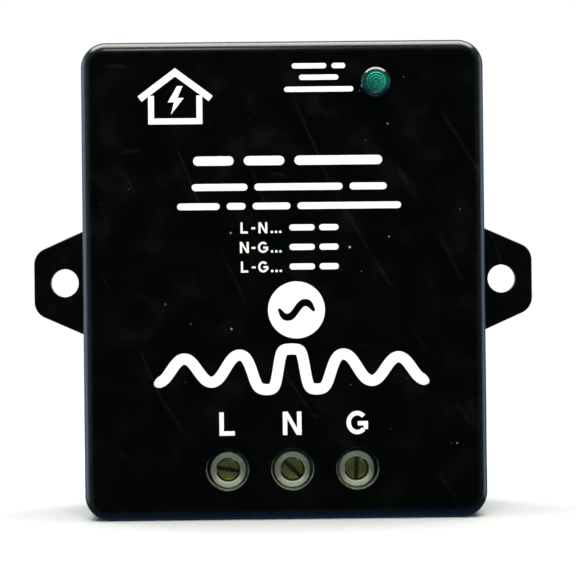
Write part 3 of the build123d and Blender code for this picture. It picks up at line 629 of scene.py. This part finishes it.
# %% [markdown]
# The ink itself is a slightly warm white with a faint screen texture and tiny wear holes, and it is
# a little rougher than the plastic under it.

# %% Ink finish
def ink_finish(name):
    """White ink: small noise in tone and gloss, and rare grey pin holes."""
    material, wire = start_finish(name)
    place = object_place(wire)
    tone = noise(place, 0.7, 4)
    worn = specks(place, 0.9, 0.06, 0.15)
    shade = worn.mix(tone.rise(0.3, 0.8).mix((0.86, 0.87, 0.84), (0.80, 0.81, 0.78)), (0.30, 0.31, 0.30))
    return end_finish(material, wire, shade, 0.42 + (tone - 0.5) * 0.2, noise(place, 0.12, 2), 0.004)


ink_white = ink_finish("ink_white")
print("ink:", ink_white.name)

# %% [markdown]
# ### Terminal letters
# L, N and G stand over the three terminals. L is one mitred ribbon. N is a band whose cross lines jump
# from stem to diagonal to stem. G is three quarters of an ellipse with a small hooked bar.

# %% Letters
LETTER_HEIGHT, STROKE = 5.5, 1.05


def letter_l(height, stroke):
    """A stem and a foot: one ribbon with a mitred corner, centred on the letter's box."""
    width, half = 0.66 * height, stroke / 2
    return [ribbon([(half - width / 2, height / 2), (half - width / 2, half - height / 2),
                    (width / 2, half - height / 2)], stroke)]


def letter_n(height, stroke):
    """Two stems and a diagonal that leaves each stem's end flush with the top or the foot."""
    w, h, t = 0.80 * height / 2, height / 2, stroke
    kink = height * 0.30
    return [([(-w, -h), (-w, h), (-w + 1.1 * t, h), (w - t, -h + kink), (w - t, -h + kink), (w - t, h)],
             [(-w + t, -h), (-w + t, h - kink), (-w + t, h - kink), (w - 1.1 * t, -h), (w, -h), (w, h)])]


def letter_g(height, stroke):
    """An ellipse from its upper right round to its lower right, then a bar that hooks inwards."""
    angle = np.radians(np.linspace(42, 318, 48))
    tall, wide = (height - stroke) / 2, 0.46 * height - stroke / 2
    bowl = np.stack([wide * np.cos(angle), tall * np.sin(angle)], 1)
    hook = [(0.02 * height, -0.03 * height), (wide, -0.03 * height), (wide, -0.70 * tall)]
    return [ribbon(bowl, stroke), ribbon(hook, stroke)]


LETTERS = {"l": letter_l, "n": letter_n, "g": letter_g}
LETTER_Z = -33.75
for pole, screw in zip(POLES, screw_places):
    bands = LETTERS[pole](LETTER_HEIGHT, STROKE)
    ink_piece(f"print_letter_{pole}", moved(bands, (screw.x - FACE_X) / MM, LETTER_Z))
print("letters over", [round(s.x / MM, 1) for s in screw_places])

# %% [markdown]
# ### Lines of bars
# Each line of small print becomes a row of rounded bars, one for each word, with the same width and
# place as the line had. A bar is about half as high as the letters were, which keeps the weight of the
# print on the face.

# %% Bars
def bars(words, width, height):
    """A row of rounded bars: word lengths and gaps share out the width; z is the middle."""
    gap = 0.75
    unit = width / (sum(words) + gap * (len(words) - 1))
    bands, x = [], -width / 2
    for word in words:
        ease = (1 - np.cos(np.linspace(0, pi, 33))) / 2
        path = np.stack([x + word * unit * ease, np.zeros(33)], 1)
        bands.append(ribbon(path, height, rounded=True))
        x += (word + gap) * unit
    return bands


# The legend's lines: the word lengths, the line's width and its height on the face.
LEGEND_X, LEGEND_BAR = 8.6, 1.25
LEGEND_LINES = [((5, 2), 12.6, 50.3), ((5,), 9.3, 47.6), ((9,), 16.3, 44.8)]
ink_piece("print_lamp_legend", [band for words, width, z in LEGEND_LINES
                                for band in moved(bars(words, width, LEGEND_BAR), LEGEND_X, z)])

# The large lines: the word lengths, the width, the middle's x and z, and the height of a capital.
BAR_SHARE = 0.55
MAIN_LINES = [((3, 3, 6.5), 44.5, 1.1, 28.1, 4.0), ((6, 9.5, 4), 45.9, 1.4, 21.9, 3.0),
              ((4.5, 2, 4, 11), 52.7, 1.35, 17.4, 2.9)]
for number, (words, width, x, z, cap) in enumerate(MAIN_LINES, 1):
    ink_piece(f"print_line_{number}", moved(bars(words, width, cap * BAR_SHARE), x, z))
print("lines of bars:", len(LEGEND_LINES) + len(MAIN_LINES))

# %% [markdown]
# The three lines for the protected modes keep their letter pairs, since those are only the names of
# the terminals, followed by three dots and a bar.

# %% Mode lines
MODE_CAP, MODE_STROKE, MODE_X = 2.6, 0.5, 1.1
FIRST_X, SECOND_X, MODE_BAR_X = -10.4, -6.0, 6.0
DOT_XS = (-3.9, -2.9, -1.9)
WIRES = {"l": "line", "n": "neutral", "g": "ground"}
MODE_PLACES = {("l", "n"): 12.3, ("n", "g"): 7.7, ("l", "g"): 3.1}


def dot(x, z, radius):
    """A disc as a band between its left and right half circles."""
    angle = np.linspace(0, pi, 17)
    side, height = radius * np.sin(angle), radius * np.cos(angle)
    return np.stack([x - side, z + height], 1), np.stack([x + side, z + height], 1)


def mode_line(first, second):
    """Letter, dash, letter, three dots and a bar, centred on the line."""
    bands = [band for letter, x in ((first, FIRST_X), (second, SECOND_X))
             for band in moved(LETTERS[letter](MODE_CAP, MODE_STROKE), x, 0)]
    bands.append(ribbon([(-8.7, -0.1), (-7.8, -0.1)], 0.45))
    bands += [dot(x, -1.0, 0.3) for x in DOT_XS]
    return bands + moved(bars((4.2, 3.2), 11.6, 1.45), MODE_BAR_X, 0)


for (first, second), z in MODE_PLACES.items():
    ink_piece(f"print_mode_{WIRES[first]}_{WIRES[second]}", moved(mode_line(first, second), MODE_X, z))
print("mode lines:", len(MODE_PLACES))

# %% [markdown]
# ### Pictograms
# Three plain signs fill the places of the marks. The first is a house with a bolt, for what is
# protected: a roof and walls as ribbons, and the bolt as a band between its two zigzag sides.

# %% House
HOUSE = [ribbon([(-9.0, -0.6), (0, 6.1), (9.0, -0.6)], 1.7),
         ribbon([(-6.1, 0.2), (-6.1, -6.3), (6.1, -6.3), (6.1, 0.2)], 1.5),
         ([(0.5, 2.6), (-1.9, -1.5), (-0.3, -1.5), (-1.1, -4.6)],
          [(1.9, 2.6), (0.6, -0.4), (2.2, -0.4), (-1.1, -4.6)])]
ink_piece("print_house", moved(HOUSE, -25.2, 43.4, 0.93))
print("house bands:", len(HOUSE))

# %% [markdown]
# The second is a disc with the sign for alternating current left open in it. Two bands fill the disc:
# one from its upper rim down to the sign and one from the sign down to its lower rim. The sign's half
# thickness, measured straight up, is its half stroke times the square root of one plus the slope
# squared, so that the stroke looks even, and it closes smoothly at the sign's two ends.

# %% Disc
DISC_RADIUS, SIGN_HALF, SIGN_HEIGHT, SIGN_STROKE = 6.7, 4.3, 1.7, 1.7
x = np.linspace(-1, 1, 97) * DISC_RADIUS
x = np.sign(x) * DISC_RADIUS * np.sin(np.abs(x) / DISC_RADIUS * pi / 2)
rim = np.sqrt(np.clip(DISC_RADIUS**2 - x**2, 0, None))
sign = SIGN_HEIGHT * np.sin(x / SIGN_HALF * pi) * (np.abs(x) < SIGN_HALF)
slope = SIGN_HEIGHT * pi / SIGN_HALF * np.cos(x / SIGN_HALF * pi)
closing = np.clip(1 - (np.abs(x) / SIGN_HALF) ** 6, 0, None) ** 0.5
cut = np.minimum(closing * SIGN_STROKE / 2 * np.sqrt(1 + slope**2), rim)
ink_piece("print_disc", moved([
    (np.stack([x, rim], 1), np.stack([x, sign + cut], 1)),
    (np.stack([x, sign - cut], 1), np.stack([x, -rim], 1))], 2.8, -7.1))
print("disc stations:", len(x))

# %% [markdown]
# The third is a wave whose tall surge is cut off flat, which is what the box does. Its height is a
# small ripple plus a bell curve, times a cosine. Counted in clips, it is divided by the cube root of
# one plus its own cube, which keeps it below one.

# %% Wave
CLIP, RIPPLE, SURGE, SURGE_WIDTH = 4.9, 2.9, 10, 8.5
WAVE_HALF, WAVE_LENGTH, WAVE_STROKE = 32.3, 12.6, 2.6
x = np.linspace(-WAVE_HALF, WAVE_HALF, 601)
wave = (RIPPLE + SURGE * np.exp(-((x / SURGE_WIDTH) ** 2))) * np.cos(x * 2 * pi / WAVE_LENGTH) / CLIP
clipped = CLIP * wave / (1 + np.abs(wave) ** 3) ** (1 / 3)
ink_piece("print_wave", moved([ribbon(np.stack([x, clipped], 1), WAVE_STROKE, rounded=True)], 1.5, -21.1))

# %% [markdown]
# ## Floor, surroundings and light
# A pale floor runs out to a white backdrop. A large warm soft box hangs over and a little behind the
# box, which draws the bright line along the top edge and drops the shadow in front. A second one high
# in front lights the print without mirroring in the black face, because the face would only mirror
# what stands straight in front. The surroundings are cool and come mostly from the left and behind.

# %% Floor
floor_mesh = bpy.data.meshes.new("floor")
reach, level = 3.0, cad_low.z
floor_mesh.from_pydata([(-reach, -reach, level), (reach, -reach, level), (reach, reach, level),
                        (-reach, reach, level)], [], [(0, 1, 2, 3)])
floor = bpy.data.objects.new("floor", floor_mesh)
bpy.context.scene.collection.objects.link(floor)
material, wire = start_finish("floor_pale")
x, y, _ = axis_parts(object_place(wire))
far = ((x * x + y * y) ** 0.5).rise(0.10, 0.36)
tone = noise(object_place(wire), 30, 3).mix((0.41, 0.42, 0.44), (0.44, 0.45, 0.46))
floor_mesh.materials.append(end_finish(
    material, wire, far.mix(tone, (0, 0, 0)), 0.9, Emission_Color=far.mix((0, 0, 0), (1, 1, 1)),
    Emission_Strength=1.0, Specular_IOR_Level=0.0))
floor.visible_glossy = False
print("floor level, mm:", round(level / MM, 2))

# %% Lights
def soft_box(name, place, aim, size, power, colour, mirrored=True):
    """A rectangular area light at place that looks at aim, in metres; glossy faces may mirror it."""
    light = bpy.data.lights.new(name, "AREA")
    light.shape, light.size, light.size_y = "RECTANGLE", *size
    light.energy, light.color = power, colour
    box = bpy.data.objects.new(name, light)
    box.location = place
    box.rotation_mode = "QUATERNION"
    box.rotation_quaternion = (Vector(aim) - Vector(place)).to_track_quat("-Z", "Y")
    box.visible_camera, box.visible_glossy = False, mirrored
    bpy.context.scene.collection.objects.link(box)


WARM, COOL = (1.0, 0.98, 0.88), (0.58, 0.76, 1.0)
soft_box("overhead", (0, 0.06, 0.70), (0, 0, 0), (1.1, 0.5), 16.0, WARM)
soft_box("front_high", (0, -0.60, 0.66), (0, 0, 0), (0.5, 0.2), 8.0, WARM, mirrored=False)
soft_box("glint", (-0.10, -0.62, 0.70), (0, 0, 0), (0.12, 0.12), 0.7, WARM)
soft_box("left", (-0.80, 0.15, 0.05), (0, 0, 0), (0.5, 0.7), 1.9, COOL)
soft_box("right", (0.80, 0.15, 0.05), (0, 0, 0), (0.5, 0.7), 1.8, COOL)
print("lights:", len(bpy.data.lights))

# %% [markdown]
# The surroundings are what the glossy parts mirror: a cool glow from behind, the sides and above, and
# deep blue from below. A camera ray that passes the floor's edge sees plain white instead.

# %% Surroundings
world = bpy.data.worlds.new("studio")
bpy.context.scene.world = world
world.use_nodes = True
world.node_tree.nodes.clear()
wire = Wire(world.node_tree)
x, y, z = axis_parts(wire.node("ShaderNodeTexCoord", out="Generated"))
behind = y.rise(-0.2, 0.9)
beside = abs(x).rise(0.45, 1.0) * (0.30 - 0.14 * x + 0.16 * z)
glow = 0.02 + behind * z.rise(-0.25, 0.1) * (0.45 - 0.25 * x) + beside + z.rise(0.2, 1.0) * 0.2
surround = glow.mix((0, 0, 0), (0.66, 0.82, 1.0))
surround = z.rise(-0.3, -0.9).mix(surround, (0.06, 0.11, 0.26))
seen = wire.node("ShaderNodeLightPath", out="Is Camera Ray")
background = wire.node("ShaderNodeBackground", None, {"Color": seen.mix(surround, (1, 1, 1))})
world_out = wire.tree.nodes.new("ShaderNodeOutputWorld")
wire.tree.links.new(background.socket, world_out.inputs["Surface"])
print("surroundings:", len(world.node_tree.nodes), "nodes")
